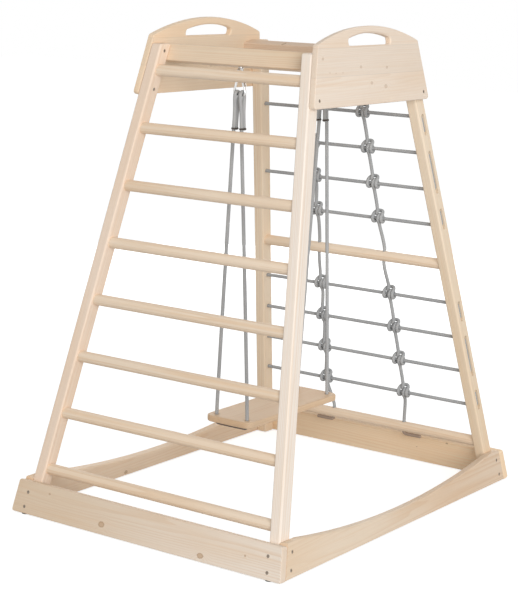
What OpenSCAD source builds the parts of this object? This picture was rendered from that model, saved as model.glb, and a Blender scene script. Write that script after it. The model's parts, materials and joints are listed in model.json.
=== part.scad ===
// Wooden climbing frame: a rung ladder, a rope net and a plank swing between four leaning posts.
// Millimetres, +Z up, origin on the floor under the middle of the frame.
// The ladder faces -Y, the net faces +Y, and the two sides along X stay open for the swing.

/* [Stance] */
// Width across the outer faces of the posts, measured at the floor
stance_w = 823; // [760:1:900]
// Depth across the outer faces of the posts, measured at the floor
stance_d = 1103; // [1040:1:1180]
// Lean of the sides towards each other, in degrees
side_lean = 7.35; // [6:0.05:8.5]
// Lean of the ladder and the net towards each other, in degrees
front_lean = 14.05; // [12.5:0.05:15]
// Height of the tops of the posts
frame_h = 1233; // [1180:1:1280]

/* [Posts] */
// Width of a post along X
post_w = 32; // [30:0.5:38]
// Depth of a post along Y
post_d = 43; // [40:0.5:50]
// Rounding of the edges of a post
post_round = 5; // [2:0.5:8]

/* [Ladder] */
// Diameter of a rung
rung_d = 30; // [26:0.5:32]
// Height of the lowest rung's axis
first_rung_z = 114; // [110:1:130]
// Drop from the post tops to the highest rung's axis
top_rung_drop = 69; // [60:1:80]
// Depth of the socket that a rung sits in
rung_socket = 20; // [12:0.5:22]

/* [Top] */
// Height of a top rail
rail_h = 45; // [38:1:60]
// Thickness of a top rail
rail_t = 34; // [26:0.5:40]
// Rounding of the edges of a rail
rail_round = 3; // [1:0.5:6]
// Thickness of a side cap
cap_t = 18; // [15:0.5:24]
// How far a side cap reaches below the post tops
cap_drop = 135; // [110:1:150]
// How far a side cap rises above the post tops
cap_rise = 63; // [58:1:80]
// Radius of the arch along the top of a cap
cap_arch_r = 690; // [620:5:760]
// Rounding of a cap's corners
cap_corner = 9; // [4:0.5:14]
// Rounding of a cap's edges
cap_edge = 3; // [1:0.5:5]
// Width of the hand hole
grip_w = 200; // [160:1:220]
// Height of the hand hole in its middle
grip_h = 31; // [28:0.5:36]
// Wood left above the hand hole
grip_strip = 18; // [15:0.5:24]
// Radius of the arch along the top of the hand hole
grip_arch_r = 370; // [340:5:450]
// Rounding of the hand hole's corners
grip_round = 8; // [4:0.5:9]

/* [Base] */
// Thickness of the base boards
board_t = 24; // [20:0.5:30]
// Height of the base boards along their slope
board_h = 88; // [82:1:100]
// Rounding of the boards' corners
board_round = 6; // [3:0.5:10]
// Rounding of the boards' edges
board_edge = 3; // [1:0.5:5]
// Length of the dip in the top edge of a side board
dip_w = 950; // [800:5:980]
// Depth of the dip in the top edge of a side board
dip_h = 38; // [20:1:42]
// Diameter of a foot glide
foot_d = 22; // [18:0.5:24]
// Height of a foot glide
foot_h = 3; // [2:0.5:5]

/* [Net] */
// Diameter of the rope of the net and of the swing
rope_d = 10; // [9:0.25:10.5]
// Step from a wooden rung of the net to the nearest rope
net_gap = 112; // [100:1:118]
// Drop from the caps' lower edge to the highest rope
net_top_drop = 48; // [40:1:60]
// Distance of an upright rope from the middle at the highest rope
upright_top_x = 86; // [70:1:95]
// Distance of an upright rope from the middle at the lowest rope
upright_low_x = 135; // [125:1:150]
// Distance from the middle of the hole where an upright rope goes through the bottom rung
upright_hole_x = 123; // [110:1:135]
// Length of an upright rope's tail under the bottom rung
upright_tail = 58; // [40:1:70]
// Diameter of the holes that ropes run through
rope_hole_d = 12.4; // [12:0.1:14]
// Depth of the rope slots in the posts' outer faces
slot_depth = 12; // [11.5:0.1:13]
// Length of the short slots that take the rope ends
end_slot = 40; // [30:1:50]

/* [Swing] */
// Width of the seat along X
seat_w = 150; // [130:1:180]
// Length of the seat along Y
seat_l = 430; // [360:1:480]
// Thickness of the seat
seat_t = 18; // [15:0.5:24]
// Height of the seat's top
seat_z = 259; // [230:1:320]
// Rounding of the seat's corners
seat_corner = 24; // [10:1:30]
// Rounding of the seat's edges
seat_edge = 4; // [2:0.5:6]
// Distance between the two rope holes at one end of the seat
seat_hole_gap = 100; // [80:1:110]
// Wire of the screw eyes
eye_wire = 6; // [5:0.25:7]
// Diameter of an eye's ring, on its wire
eye_ring = 21; // [20:0.5:24]
// Wire of the hanging links
link_wire = 6.5; // [5:0.25:7]
// Height of a hanging link, on its wire
link_h = 53; // [42:0.5:60]
// Width of a hanging link's base, on its wire
link_w = 34; // [33:0.5:40]
// Length of the doubled rope under a link
splice_l = 90; // [80:1:130]

/* [Fasteners] */
// Diameter of the screws' shanks
screw_d = 5; // [4:0.25:6.5]
// Diameter of the screws' heads
screw_head_d = 9; // [8.5:0.25:11]
// Height of the screws' heads
screw_head_h = 3; // [2:0.25:4]
// How far the heads lie below the wood
screw_sink = 0.8; // [0.3:0.1:2]

/* [Hidden] */
$fn = 48;

// Overrun of every cut
cut = 3;
// Clearance of wood and metal pieces in their sockets and holes
fit_gap = 0.15;
// Clearance between ropes that lie against each other or against a wire
rope_gap = 0.6;
// Clearance of a link on its eye
run_gap = 0.3;
// Clearance of a rope on what it bears against
seat_gap = 0.1;
// Size of the blocks that trim pieces along a plane
reach = stance_w + stance_d + frame_h;
// Steps of a rounded edge: inset and depth as shares of its radius
edge_shares = [[0, 1], [0.29, 0.29], [0.8, 0]];
// Points on each rounded corner of a post
corner_steps = 4;
// Facets of rounded corners, of the caps' arches, of the hand holes' arches and of the dips
soft_fn = 24;
arch_fn = 180;
grip_fn = 120;
dip_fn = 360;

// Ladder
rung_count = 8;
top_rung_z = frame_h - top_rung_drop;
rung_pitch = (top_rung_z - first_rung_z) / (rung_count - 1);
function rung_z(i) = first_rung_z + (i - 1) * rung_pitch;

// Leaning planes: the posts' outer faces at height z, and the axis of a post
side_run = tan(side_lean);
front_run = tan(front_lean);
function half_w(z) = stance_w / 2 - side_run * z;
function half_d(z) = stance_d / 2 - front_run * z;
function post_x(z) = half_w(z) - post_w / 2;
function post_y(z) = half_d(z) - post_d / 2;
// Distance up a leaning plane that reaches height z
function up_side(z) = z / cos(side_lean);
function up_front(z) = z / cos(front_lean);

// Top
cap_low_z = frame_h - cap_drop;
cap_high_z = frame_h + cap_rise;
grip_high = up_side(cap_high_z) - grip_strip;
grip_low = grip_high - grip_h;
post_t = post_w * cos(side_lean);

// Rails lie flat on the posts' inner faces, and are placed up the leaning plane and in from it
rail_top = up_front(frame_h) + post_d * sin(front_lean);
rail_low = rail_top - rail_h;
rail_face = post_d * cos(front_lean) + rail_t;

// Base
board_low = (foot_h - board_t * sin(front_lean)) / cos(front_lean);
side_low = (foot_h - board_t * sin(side_lean)) / cos(side_lean);
side_high = side_low + board_h;
dip_r = (dip_w * dip_w / 4 + dip_h * dip_h) / (2 * dip_h);

// Net levels: the bottom rung, a field of ropes, the middle rung and a second field of ropes
field_ropes = 4;
net_gap_count = 3;
net_low_z = first_rung_z;
net_high_z = cap_low_z - net_top_drop;
net_pitch = (net_high_z - net_low_z - net_gap_count * net_gap) / (2 * (field_ropes - 1));
net_mid_z = net_high_z - (field_ropes - 1) * net_pitch - net_gap;
function upper_z(i) = net_high_z - i * net_pitch;
function lower_z(i) = net_mid_z - net_gap - i * net_pitch;
rope_levels = [for (i = [0:field_ropes - 1]) upper_z(i), for (i = [0:field_ropes - 1]) lower_z(i)];
lowest_rope_z = lower_z(field_ropes - 1);
function upright_x(z) =
    upright_low_x + (upright_top_x - upright_low_x) * (z - lowest_rope_z) / (net_high_z - lowest_rope_z);

// Rope slots: the rope lies flush in the post's outer face
slot_w = rope_hole_d + rope_gap;
slot_over = 2.5;
slot_lip = 1.5;
slot_in = (rope_d / 2 + slot_lip) / cos(side_lean);
rope_bend = 7;
rope_sides = 6;
bend_steps = 4;
loop_step = 30;
rope_pitch = rope_d + rope_gap;

// Cow hitch of an upright round a level rope, in shares of the rope pitch: along the level rope,
// out of the net and up the net. The rope comes down, goes over the level rope and round it,
hitch_in_shares = [
    [-0.15, 0, 2.9], [-0.32, -0.08, 1.95], [-0.53, 0.02, 1.14]
];
// up the front as one leg, into the bight behind the rope that came down,
hitch_leg_shares = [
    [-0.56, 0.78, 0.78], [-0.72, 1.09, 0], [-1.1, 0.8, -0.76], [-1.46, 0, -1.08], [-1.6, -0.78, -0.76],
    [-1.6, -1.09, 0], [-1.6, -0.82, 0.76], [-1.6, -0.15, 1.34], [-1.3, 0.62, 1.86], [-0.68, 1.2, 2.12]
];
hitch_bight_share = [0, 1.38, 2.18];
// back by the other leg, over the level rope and down its front
hitch_out_shares = [
    [0.53, 0.06, 1.12], [0.5, -0.78, 0.78], [0.38, -1.09, 0],
    [0.26, -0.8, -0.78], [0.18, -0.25, -1.7], [0.12, 0, -2.6]
];
hitch_shares = [
    each hitch_in_shares,
    each hitch_leg_shares,
    hitch_bight_share,
    for (i = [len(hitch_leg_shares) - 1:-1:0]) let (q = hitch_leg_shares[i]) [-q[0], q[1], q[2]],
    each hitch_out_shares
];
rung_lead_share = 0.7;
rung_lead = rung_d / 2 + rope_d * rung_lead_share;
tail_bend = 9;
tail_gap = 1.5;
tail_z = net_low_z - rung_d / 2 - rope_d / 2 - tail_gap;

// Swing
eye_edge = 12;
eye_depth = rail_face - eye_edge;
eye_collar_d = 14;
eye_collar_t = 3;
eye_neck = 1;
eye_shank_d = 6;
eye_shank_l = 32;
eye_drop = eye_collar_t + eye_neck + eye_ring / 2;
eye_y = half_d(0) - (rail_low - eye_drop) * sin(front_lean) - eye_depth * cos(front_lean);
eye_z = (rail_low - eye_drop) * cos(front_lean) - eye_depth * sin(front_lean);
pivot_z = eye_z - eye_ring / 2;
link_top_z = pivot_z + eye_wire / 2 + run_gap + link_wire / 2;
link_low_z = link_top_z - link_h;
link_crown_r = 9;
link_corner_r = 8;
link_steps = 6;
link_sides = 10;
sleeve_d = 11;
sleeve_l = 15;
loop_r = (link_wire / 2 + run_gap + rope_d / 2 * cos(180 / rope_sides)) / cos(loop_step / 2);
loop_x = max(rope_pitch / 2, link_w / 2 - link_wire / 2 - rope_d / 2 - rope_gap);
strand_y = rope_pitch / 2;
strand_join = 45;
splice_z = link_low_z - splice_l;
whip_h = 5;
whip_t = 0.8;
whip_end = 1;
whip_z = splice_z + whip_end + whip_h / 2;
whip_fn = 24;
seat_hole_inset = 24;
hole_x = seat_hole_gap / 2;
hole_y = seat_l / 2 - seat_hole_inset;
hole_mouth = 2.5;
lead_z = seat_z + rope_d;
under_z = seat_z - seat_t - rope_d / 2 - seat_gap;

// Fasteners
face_screw_zs = [15, 53];
side_screw_zs = [20, 63];
base_bite = 30;
cap_bolt_rise = 20;
cap_bolt_z = cap_low_z + cap_bolt_rise;
cap_screw_drop = 15;
cap_screw_z = frame_h - cap_screw_drop;
bolt_nut_l = 16;
bolt_nut_flange = 2;
bolt_nut_d = 7.4;
rail_bite = 15;
rail_screw_z = frame_h - rail_h / 2 * cos(front_lean);
key_d = 5;
key_depth = 2;

wood = "burlywood";
pale_wood = "wheat";
grey_rope = "gray";
steel = "silver";
dark_metal = "dimgray";

// Vectors and swept skins
function unit(v) = v / norm(v);
steep_share = 0.9;
function first_side(t) = unit(cross(t, abs(t[2]) < steep_share ? [0, 0, 1] : [0, 1, 0]));
function tangents(p) =
    [for (i = [0:len(p) - 1]) unit(p[min(i + 1, len(p) - 1)] - p[max(i - 1, 0)])];
function carried(n, t) = unit(n - (n * t) * t);
function sides(t) = [
    for (i = 0, n = first_side(t[0]); i < len(t); i = i + 1, n = i < len(t) ? carried(n, t[i]) : n) n
];
function ring(c, t, n, r, count) = [
    for (k = [0:count - 1])
        c + r * (cos(360 * k / count) * n + sin(360 * k / count) * cross(t, n))
];
function tube_rings(p, r, count) =
    let (t = tangents(p), n = sides(t)) [for (i = [0:len(p) - 1]) ring(p[i], t[i], n[i], r, count)];

// Arc that rounds the corner b of a route from a to c
function corner(a, b, c, r, steps) =
    let (
        u = unit(a - b),
        v = unit(c - b),
        half = acos(u * v) / 2,
        mid = b + unit(u + v) * r / sin(half),
        from = b + u * r / tan(half) - mid,
        to = b + v * r / tan(half) - mid,
        turn = 180 - 2 * half
    )
    [
        for (k = [0:steps])
            mid + (from * sin(turn * (1 - k / steps)) + to * sin(turn * k / steps)) / sin(turn)
    ];
function rounded(p, r, steps) = [
    p[0],
    for (i = [1:len(p) - 2]) each corner(p[i - 1], p[i], p[i + 1], r, steps),
    p[len(p) - 1]
];

// Solid between rings of points, closed with a fan at each end
module skin(rings) {
    count = len(rings[0]);
    last = len(rings) - 1;
    points = [for (r = rings) each r];
    walls = [
        for (i = [0:last - 1], k = [0:count - 1])
            let (a = i * count + k, b = i * count + (k + 1) % count)
                each [[a, a + count, b], [b, a + count, b + count]]
    ];
    low_end = [for (k = [1:count - 2]) [0, k, k + 1]];
    high_end = [for (k = [1:count - 2]) [last * count, last * count + k + 1, last * count + k]];
    polyhedron(points = points, faces = [each walls, each low_end, each high_end], convexity = 10);
}

// Tube bent round on itself, with no ends
module hoop(rings) {
    count = len(rings[0]);
    total = len(rings);
    points = [for (r = rings) each r];
    walls = [
        for (i = [0:total - 1], k = [0:count - 1])
            let (
                next = (i + 1) % total,
                a = i * count + k,
                b = i * count + (k + 1) % count,
                c = next * count + k,
                d = next * count + (k + 1) % count
            )
                each [[a, c, b], [b, c, d]]
    ];
    polyhedron(points = points, faces = walls, convexity = 10);
}

module rope(route) skin(tube_rings(route, rope_d / 2, rope_sides));

// Placing: pieces are drawn for the right side and the front, and mirrored for the left and the back
module to_side(s) {
    if (s < 0) mirror([1, 0, 0]) children();
    else children();
}
module to_face(s) {
    if (s > 0) mirror([0, 1, 0]) children();
    else children();
}
module on_side()
    translate([half_w(0), 0, 0]) rotate([0, -side_lean, 0]) rotate([90, 0, 90]) children();
module on_front()
    translate([0, -half_d(0), 0]) rotate([-front_lean, 0, 0]) rotate([90, 0, 0]) children();

// Trimming blocks outside a leaning plane and under the floor line
module beyond_side() on_side() translate([-reach / 2, -reach / 2, 0]) cube(reach);
module beyond_front() on_front() translate([-reach / 2, -reach / 2, 0]) cube(reach);
module under_base() translate([-reach / 2, -reach / 2, foot_h - reach]) cube(reach);

// Outlines and plates
module softened(r) offset(r = r, $fn = soft_fn) offset(delta = -r) children();
module soft_plate(t, r) hull()
    for (s = edge_shares) translate([0, 0, s[1] * r])
        linear_extrude(t - 2 * s[1] * r) offset(delta = -s[0] * r) children();
module stadium(a, b, d) {
    run = b - a;
    translate(a) circle(d = d);
    translate(b) circle(d = d);
    translate(a) rotate(atan2(run[1], run[0])) translate([0, -d / 2]) square([norm(run), d]);
}

// Fasteners: a head at z = 0 and a shank down to -l, or the hole for it where gap is set
module screw(l, gap = 0) difference() {
    union() {
        translate([0, 0, -l - gap]) cylinder(d = screw_d + 2 * gap, h = l + gap);
        translate([0, 0, -screw_head_h - gap])
            cylinder(d = screw_head_d + 2 * gap, h = screw_head_h + gap + (gap > 0 ? screw_sink + cut : 0));
    }
    if (gap == 0) translate([0, 0, -key_depth]) cylinder(d = key_d, h = key_depth + cut, $fn = 6);
}
module face_screws(gap = 0) on_front() for (z = face_screw_zs, s = [-1, 1])
    translate([s * post_x(z), up_front(z), board_t - screw_sink]) screw(board_t + base_bite, gap);
module side_screws(gap = 0) on_side() for (z = side_screw_zs, s = [-1, 1])
    translate([s * post_y(z), up_side(z), board_t - screw_sink]) screw(board_t + base_bite - cut, gap);
module cap_bolt_set(gap = 0) on_side() for (s = [-1, 1])
    translate([s * post_y(cap_bolt_z), up_side(cap_bolt_z), cap_t - screw_sink])
        screw(cap_t + post_t - screw_sink - bolt_nut_l - cut, gap);
module bolt_nut(gap = 0) {
    translate([0, 0, -gap]) cylinder(d = bolt_nut_d + 2 * gap, h = bolt_nut_l + gap);
    translate([0, 0, bolt_nut_l - bolt_nut_flange - gap])
        cylinder(d = screw_head_d + 2 * gap, h = bolt_nut_flange + gap + (gap > 0 ? screw_sink + cut : 0));
}
module cap_nut_set(gap = 0) on_side() for (s = [-1, 1])
    translate([s * post_y(cap_bolt_z), up_side(cap_bolt_z), screw_sink + bolt_nut_l - post_t])
        rotate([180, 0, 0]) difference() {
            bolt_nut(gap);
            if (gap == 0) translate([0, 0, bolt_nut_l - key_depth])
                cylinder(d = key_d, h = key_depth + cut, $fn = 6);
        }
module cap_screw_set(gap = 0) on_side() for (s = [-1, 1])
    translate([s * post_y(cap_screw_z), up_side(cap_screw_z), screw_sink - post_t])
        rotate([180, 0, 0]) screw(post_t + cap_t / 2, gap);
module rail_screw_set(gap = 0) on_front() for (s = [-1, 1])
    translate([s * post_x(rail_screw_z), rail_low + rail_h / 2, screw_sink - rail_face])
        rotate([180, 0, 0]) screw(rail_t + rail_bite, gap);
module face_board_screws(s) color(dark_metal) to_face(s) face_screws();
module side_board_screws(s) color(dark_metal) to_side(s) side_screws();
module cap_bolts() color(dark_metal) for (s = [-1, 1]) to_side(s) cap_bolt_set();
module cap_bolt_nuts() color(dark_metal) for (s = [-1, 1]) to_side(s) cap_nut_set();
module cap_screws() color(dark_metal) for (s = [-1, 1]) to_side(s) cap_screw_set();
module rail_screws() color(dark_metal) for (s = [-1, 1]) to_face(s) rail_screw_set();

// Posts
function rounded_box(x0, x1, y0, y1, z, r) = [
    for (q = [0:3], k = [0:corner_steps])
        let (a = 90 * (q + k / corner_steps))
            [
                (q == 0 || q == 3 ? x1 - r : x0 + r) + r * cos(a),
                (q < 2 ? y1 - r : y0 + r) + r * sin(a),
                z
            ]
];
function post_ring(z, inset) = rounded_box(
    half_w(z) - post_w + inset, half_w(z) - inset,
    -half_d(z) + inset, -half_d(z) + post_d - inset,
    z, post_round - inset
);
module post_blank() skin([
    post_ring(foot_h, 0),
    for (s = edge_shares) post_ring(frame_h - s[1] * post_round, s[0] * post_round)
]);
module fastener_holes() {
    face_screws(fit_gap);
    side_screws(fit_gap);
    cap_bolt_set(fit_gap);
    cap_nut_set(fit_gap);
    cap_screw_set(fit_gap);
    rail_screw_set(fit_gap);
}
module socket(z)
    translate([half_w(z) - post_w - rung_d * side_run - cut, -post_y(z), z]) rotate([0, 90, 0])
        cylinder(d = rung_d + 2 * fit_gap, h = rung_socket + rung_d * side_run + cut);
module rope_bore(z)
    translate([half_w(z) - post_w - cut - rung_d * side_run, -post_y(z), z]) rotate([0, 90, 0])
        cylinder(d = rope_hole_d, h = post_w + 2 * cut + 2 * rung_d * side_run);
// Slot on the outer face from height high to height low
module slot(high, low) on_side() translate([0, 0, -slot_depth]) linear_extrude(slot_depth + cut)
    stadium(
        [-post_y(high + slot_over), up_side(high + slot_over)],
        [-post_y(low - slot_over), up_side(low - slot_over)],
        slot_w
    );
module front_post(s) color(wood) to_side(s) difference() {
    post_blank();
    for (i = [1:rung_count]) socket(rung_z(i));
    fastener_holes();
}
module back_post(s) color(wood) to_side(s) to_face(1) difference() {
    post_blank();
    for (z = [net_low_z, net_mid_z]) socket(z);
    for (z = rope_levels) rope_bore(z);
    if (s > 0) for (k = [0, field_ropes]) {
        slot(rope_levels[k], rope_levels[k] - end_slot);
        slot(rope_levels[k + 1], rope_levels[k + 2]);
        slot(rope_levels[k + 3] + end_slot, rope_levels[k + 3]);
    }
    else for (k = [0:2:len(rope_levels) - 2]) slot(rope_levels[k], rope_levels[k + 1]);
    fastener_holes();
}

// Rungs
function rung_half(z) = half_w(z) - post_w + rung_socket - fit_gap;
module dowel(z)
    translate([-rung_half(z), 0, z]) rotate([0, 90, 0]) cylinder(d = rung_d, h = 2 * rung_half(z));
module ladder_rung(i) color(pale_wood) translate([0, -post_y(rung_z(i)), 0]) dowel(rung_z(i));
module net_rung(z, bore_x) color(pale_wood) translate([0, post_y(z), 0]) difference() {
    dowel(z);
    for (s = [-1, 1]) translate([s * bore_x, 0, z - rung_d / 2 - cut])
        cylinder(d = rope_hole_d, h = rung_d + 2 * cut);
}

// Top rails, with a screw eye driven square into the underside of each
module at_eye() on_front() translate([0, rail_low, -eye_depth]) rotate([-90, 0, 0]) children();
module rail_board() on_front() translate([0, rail_low + rail_h / 2, rail_t / 2 - rail_face])
    rotate([0, 90, 0]) linear_extrude(stance_w, center = true)
        softened(rail_round) square([rail_t, rail_h], center = true);
module top_rail(s) color(pale_wood) to_face(s) difference() {
    rail_board();
    for (side = [-1, 1]) to_side(side) beyond_side();
    rail_screw_set(fit_gap);
    at_eye() translate([0, 0, -cut])
        cylinder(d = eye_shank_d + 2 * fit_gap, h = eye_shank_l + fit_gap + cut);
}

// Side caps with a hand hole
module cap_outline() softened(cap_corner) intersection() {
    polygon([
        [-half_d(cap_low_z), up_side(cap_low_z)],
        [half_d(cap_low_z), up_side(cap_low_z)],
        [half_d(cap_high_z), up_side(cap_high_z)],
        [-half_d(cap_high_z), up_side(cap_high_z)]
    ]);
    translate([0, up_side(cap_high_z) - cap_arch_r]) circle(r = cap_arch_r, $fn = arch_fn);
}
module grip_outline() softened(grip_round) intersection() {
    translate([-grip_w / 2, grip_low]) square([grip_w, grip_h]);
    translate([0, grip_high - grip_arch_r]) circle(r = grip_arch_r, $fn = grip_fn);
}
module grip_cut() {
    translate([0, 0, -cut]) linear_extrude(cap_t + 2 * cut) grip_outline();
    for (high = [0, 1]) translate([0, 0, high * cap_t]) mirror([0, 0, high]) hull() {
        translate([0, 0, -cut]) linear_extrude(cut) offset(delta = cap_edge) grip_outline();
        linear_extrude(cap_edge) grip_outline();
    }
}
module cap(s) color(wood) to_side(s) difference() {
    on_side() difference() {
        soft_plate(cap_t, cap_edge) cap_outline();
        grip_cut();
    }
    cap_bolt_set(fit_gap);
    cap_screw_set(fit_gap);
}

// Base boards: the front and back boards cover the ends of the side boards
function board_half(v) = half_w(v * cos(front_lean)) + board_t / cos(side_lean);
module face_board(s) color(wood) to_face(s) difference() {
    on_front() soft_plate(board_t, board_edge) softened(board_round) polygon([
        [-board_half(board_low), board_low],
        [board_half(board_low), board_low],
        [board_half(board_low + board_h), board_low + board_h],
        [-board_half(board_low + board_h), board_low + board_h]
    ]);
    under_base();
    face_screws(fit_gap);
}
module dip_cut() translate([0, side_high - dip_h + dip_r, 0]) {
    translate([0, 0, -cut]) cylinder(r = dip_r, h = board_t + 2 * cut, $fn = dip_fn);
    for (high = [0, 1]) translate([0, 0, high * board_t]) mirror([0, 0, high]) translate([0, 0, -cut])
        cylinder(r1 = dip_r + board_edge + cut, r2 = dip_r, h = board_edge + cut, $fn = dip_fn);
}
module side_board(s) color(wood) to_side(s) difference() {
    on_side() difference() {
        soft_plate(board_t, board_edge) translate([-stance_d / 2 - board_t, side_low])
            square([stance_d + 2 * board_t, board_h]);
        dip_cut();
    }
    under_base();
    for (face = [-1, 1]) to_face(face) beyond_front();
    side_screws(fit_gap);
}
module foot_glides() color(dark_metal) for (sx = [-1, 1], sy = [-1, 1])
    translate([sx * post_x(0), sy * (half_d(foot_h) + board_t / cos(front_lean) / 2), 0])
        cylinder(d1 = foot_d - foot_h, d2 = foot_d, h = foot_h);

// Net: two ropes laced through the back posts, and two uprights hitched to each level
function lace_point(z, s) = [s * (half_w(z) - slot_in), post_y(z), z];
function lace_route(z) = [
    lace_point(z[0] - end_slot, 1), lace_point(z[0], 1), lace_point(z[0], -1), lace_point(z[1], -1),
    lace_point(z[1], 1), lace_point(z[2], 1), lace_point(z[2], -1), lace_point(z[3], -1),
    lace_point(z[3], 1), lace_point(z[3] + end_slot, 1)
];
module net_lace(first) color(grey_rope)
    rope(rounded(
        lace_route([for (i = [first:first + field_ropes - 1]) rope_levels[i]]), rope_bend, bend_steps
    ));

function hitch(z, s) = [
    for (q = rope_pitch * hitch_shares) [
        s * upright_x(z) + q[0],
        post_y(z) + q[1] * cos(front_lean) - q[2] * sin(front_lean),
        z + q[1] * sin(front_lean) + q[2] * cos(front_lean)
    ]
];
function through_rung(z, s, x) = [[s * x, post_y(z), z + rung_lead], [s * x, post_y(z), z - rung_lead]];
function tail(s) = [
    [s * upright_hole_x, post_y(net_low_z), net_low_z + rung_lead],
    each corner(
        [s * upright_hole_x, post_y(net_low_z), net_low_z],
        [s * upright_hole_x, post_y(net_low_z), tail_z],
        [s * (upright_hole_x + upright_tail), post_y(net_low_z), tail_z],
        tail_bend, bend_steps
    ),
    [s * (upright_hole_x + upright_tail), post_y(net_low_z), tail_z]
];
function upright_route(s) = [
    for (i = [0:field_ropes - 1]) each hitch(upper_z(i), s),
    each through_rung(net_mid_z, s, upright_x(net_mid_z)),
    for (i = [0:field_ropes - 1]) each hitch(lower_z(i), s),
    each tail(s)
];
module net_upright(s) color(grey_rope) rope(upright_route(s));

// Swing: screw eyes, hanging links, ropes and seat
module screw_eye(s) color(steel) to_face(s) at_eye() {
    translate([0, 0, -eye_drop]) rotate([0, 90, 0]) rotate_extrude()
        translate([eye_ring / 2, 0]) circle(d = eye_wire);
    translate([0, 0, -eye_collar_t]) cylinder(d = eye_collar_d, h = eye_collar_t);
    translate([0, 0, -eye_collar_t / 2]) cylinder(d = eye_shank_d, h = eye_shank_l + eye_collar_t / 2);
}

// Link: a triangle of wire with a straight base, in the XZ plane
link_foot = [link_w / 2 - link_corner_r, link_low_z + link_corner_r];
link_crown = [0, link_top_z - link_crown_r];
link_rise = link_crown - link_foot;
link_tilt = atan2(link_rise[1], link_rise[0]) - acos((link_corner_r - link_crown_r) / norm(link_rise));
function arc(c, r, from, to) = [
    for (k = [0:link_steps])
        let (a = from + (to - from) * k / link_steps) [c[0] + r * cos(a), 0, c[1] + r * sin(a)]
];
link_half = [
    each arc(link_foot, link_corner_r, -90, link_tilt),
    each arc(link_crown, link_crown_r, link_tilt, 90)
];
link_loop = [
    each link_half,
    for (i = [len(link_half) - 2:-1:0]) [-link_half[i][0], 0, link_half[i][2]]
];
function loop_tangent(i) =
    let (n = len(link_loop)) unit(link_loop[(i + 1) % n] - link_loop[(i + n - 1) % n]);
module hanging_link(s) color(steel) translate([0, s * eye_y, 0]) hoop([
    for (i = [0:len(link_loop) - 1])
        ring(link_loop[i], loop_tangent(i), [0, 1, 0], link_wire / 2, link_sides)
]);
module link_sleeve(s) color(steel) translate([0, s * eye_y, 0])
    translate([
        (link_foot[0] + link_crown[0]) / 2 + (link_corner_r + link_crown_r) / 2 * cos(link_tilt), 0,
        (link_foot[1] + link_crown[1]) / 2 + (link_corner_r + link_crown_r) / 2 * sin(link_tilt)
    ]) rotate([0, -link_tilt, 0]) difference() {
        cylinder(d = sleeve_d, h = sleeve_l, center = true, $fn = 6);
        cylinder(d = link_wire + 2 * fit_gap, h = sleeve_l + 2 * cut, center = true);
    }

// Swing ropes: a looped and doubled end over the link, down to the seat, across under it and up again
strand_run = [hole_x - loop_x, eye_y - hole_y, link_low_z - lead_z];
function strand_share(z) = (link_low_z - z) / strand_run[2];
function strand_x(z) = loop_x + strand_run[0] * strand_share(z);
function strand(s, y, z) = [s * strand_x(z), y + strand_run[1] * strand_share(z), z];
function seat_end(s) = [s * hole_x, strand_run[1], lead_z];
function rope_half(s) = [
    strand(s, strand_y, splice_z),
    strand(s, strand_y, link_low_z - strand_join),
    strand(s, loop_r, link_low_z - loop_r),
    for (a = [0:loop_step:180]) [s * loop_x, loop_r * cos(a), link_low_z + loop_r * sin(a)],
    strand(s, -loop_r, link_low_z - loop_r),
    strand(s, -strand_y, link_low_z - strand_join),
    strand(s, -strand_y, splice_z),
    seat_end(s),
    each corner(
        seat_end(s), [s * hole_x, strand_run[1], under_z], [0, strand_run[1], under_z],
        rope_bend, bend_steps
    )
];
left_half = rope_half(-1);
swing_route = [
    each rope_half(1),
    for (i = [len(left_half) - 1:-1:0]) left_half[i]
];
module swing_rope(s) color(grey_rope) to_face(s) translate([0, -eye_y, 0]) rope(swing_route);
rope_tilt = atan(strand_run[0] / strand_run[2]);
rope_lean = atan(strand_run[1] / strand_run[2]);
module strand_pair(d)
    hull() for (s = [-1, 1]) translate([0, s * strand_y]) circle(d = d, $fn = whip_fn);
module rope_whippings(s) color(dark_metal) to_face(s) translate([0, -eye_y, 0]) for (side = [-1, 1])
    translate(strand(side, 0, whip_z)) rotate([rope_lean, -side * rope_tilt, 0])
        linear_extrude(whip_h, center = true) difference() {
            strand_pair(rope_d + 2 * rope_gap + 2 * whip_t);
            strand_pair(rope_d + 2 * rope_gap);
        }

module seat_hole() {
    cylinder(d = rope_hole_d, h = seat_t + 2 * cut, center = true);
    for (high = [0, 1]) mirror([0, 0, high]) translate([0, 0, seat_t / 2 - hole_mouth])
        cylinder(d1 = rope_hole_d, d2 = rope_hole_d + 2 * (hole_mouth + cut), h = hole_mouth + cut);
}
module swing_seat() color(wood) difference() {
    translate([0, 0, seat_z - seat_t]) soft_plate(seat_t, seat_edge) softened(seat_corner)
        square([seat_w, seat_l], center = true);
    for (sx = [-1, 1], sy = [-1, 1])
        translate([sx * hole_x, sy * hole_y, seat_z - seat_t / 2]) seat_hole();
}

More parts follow.
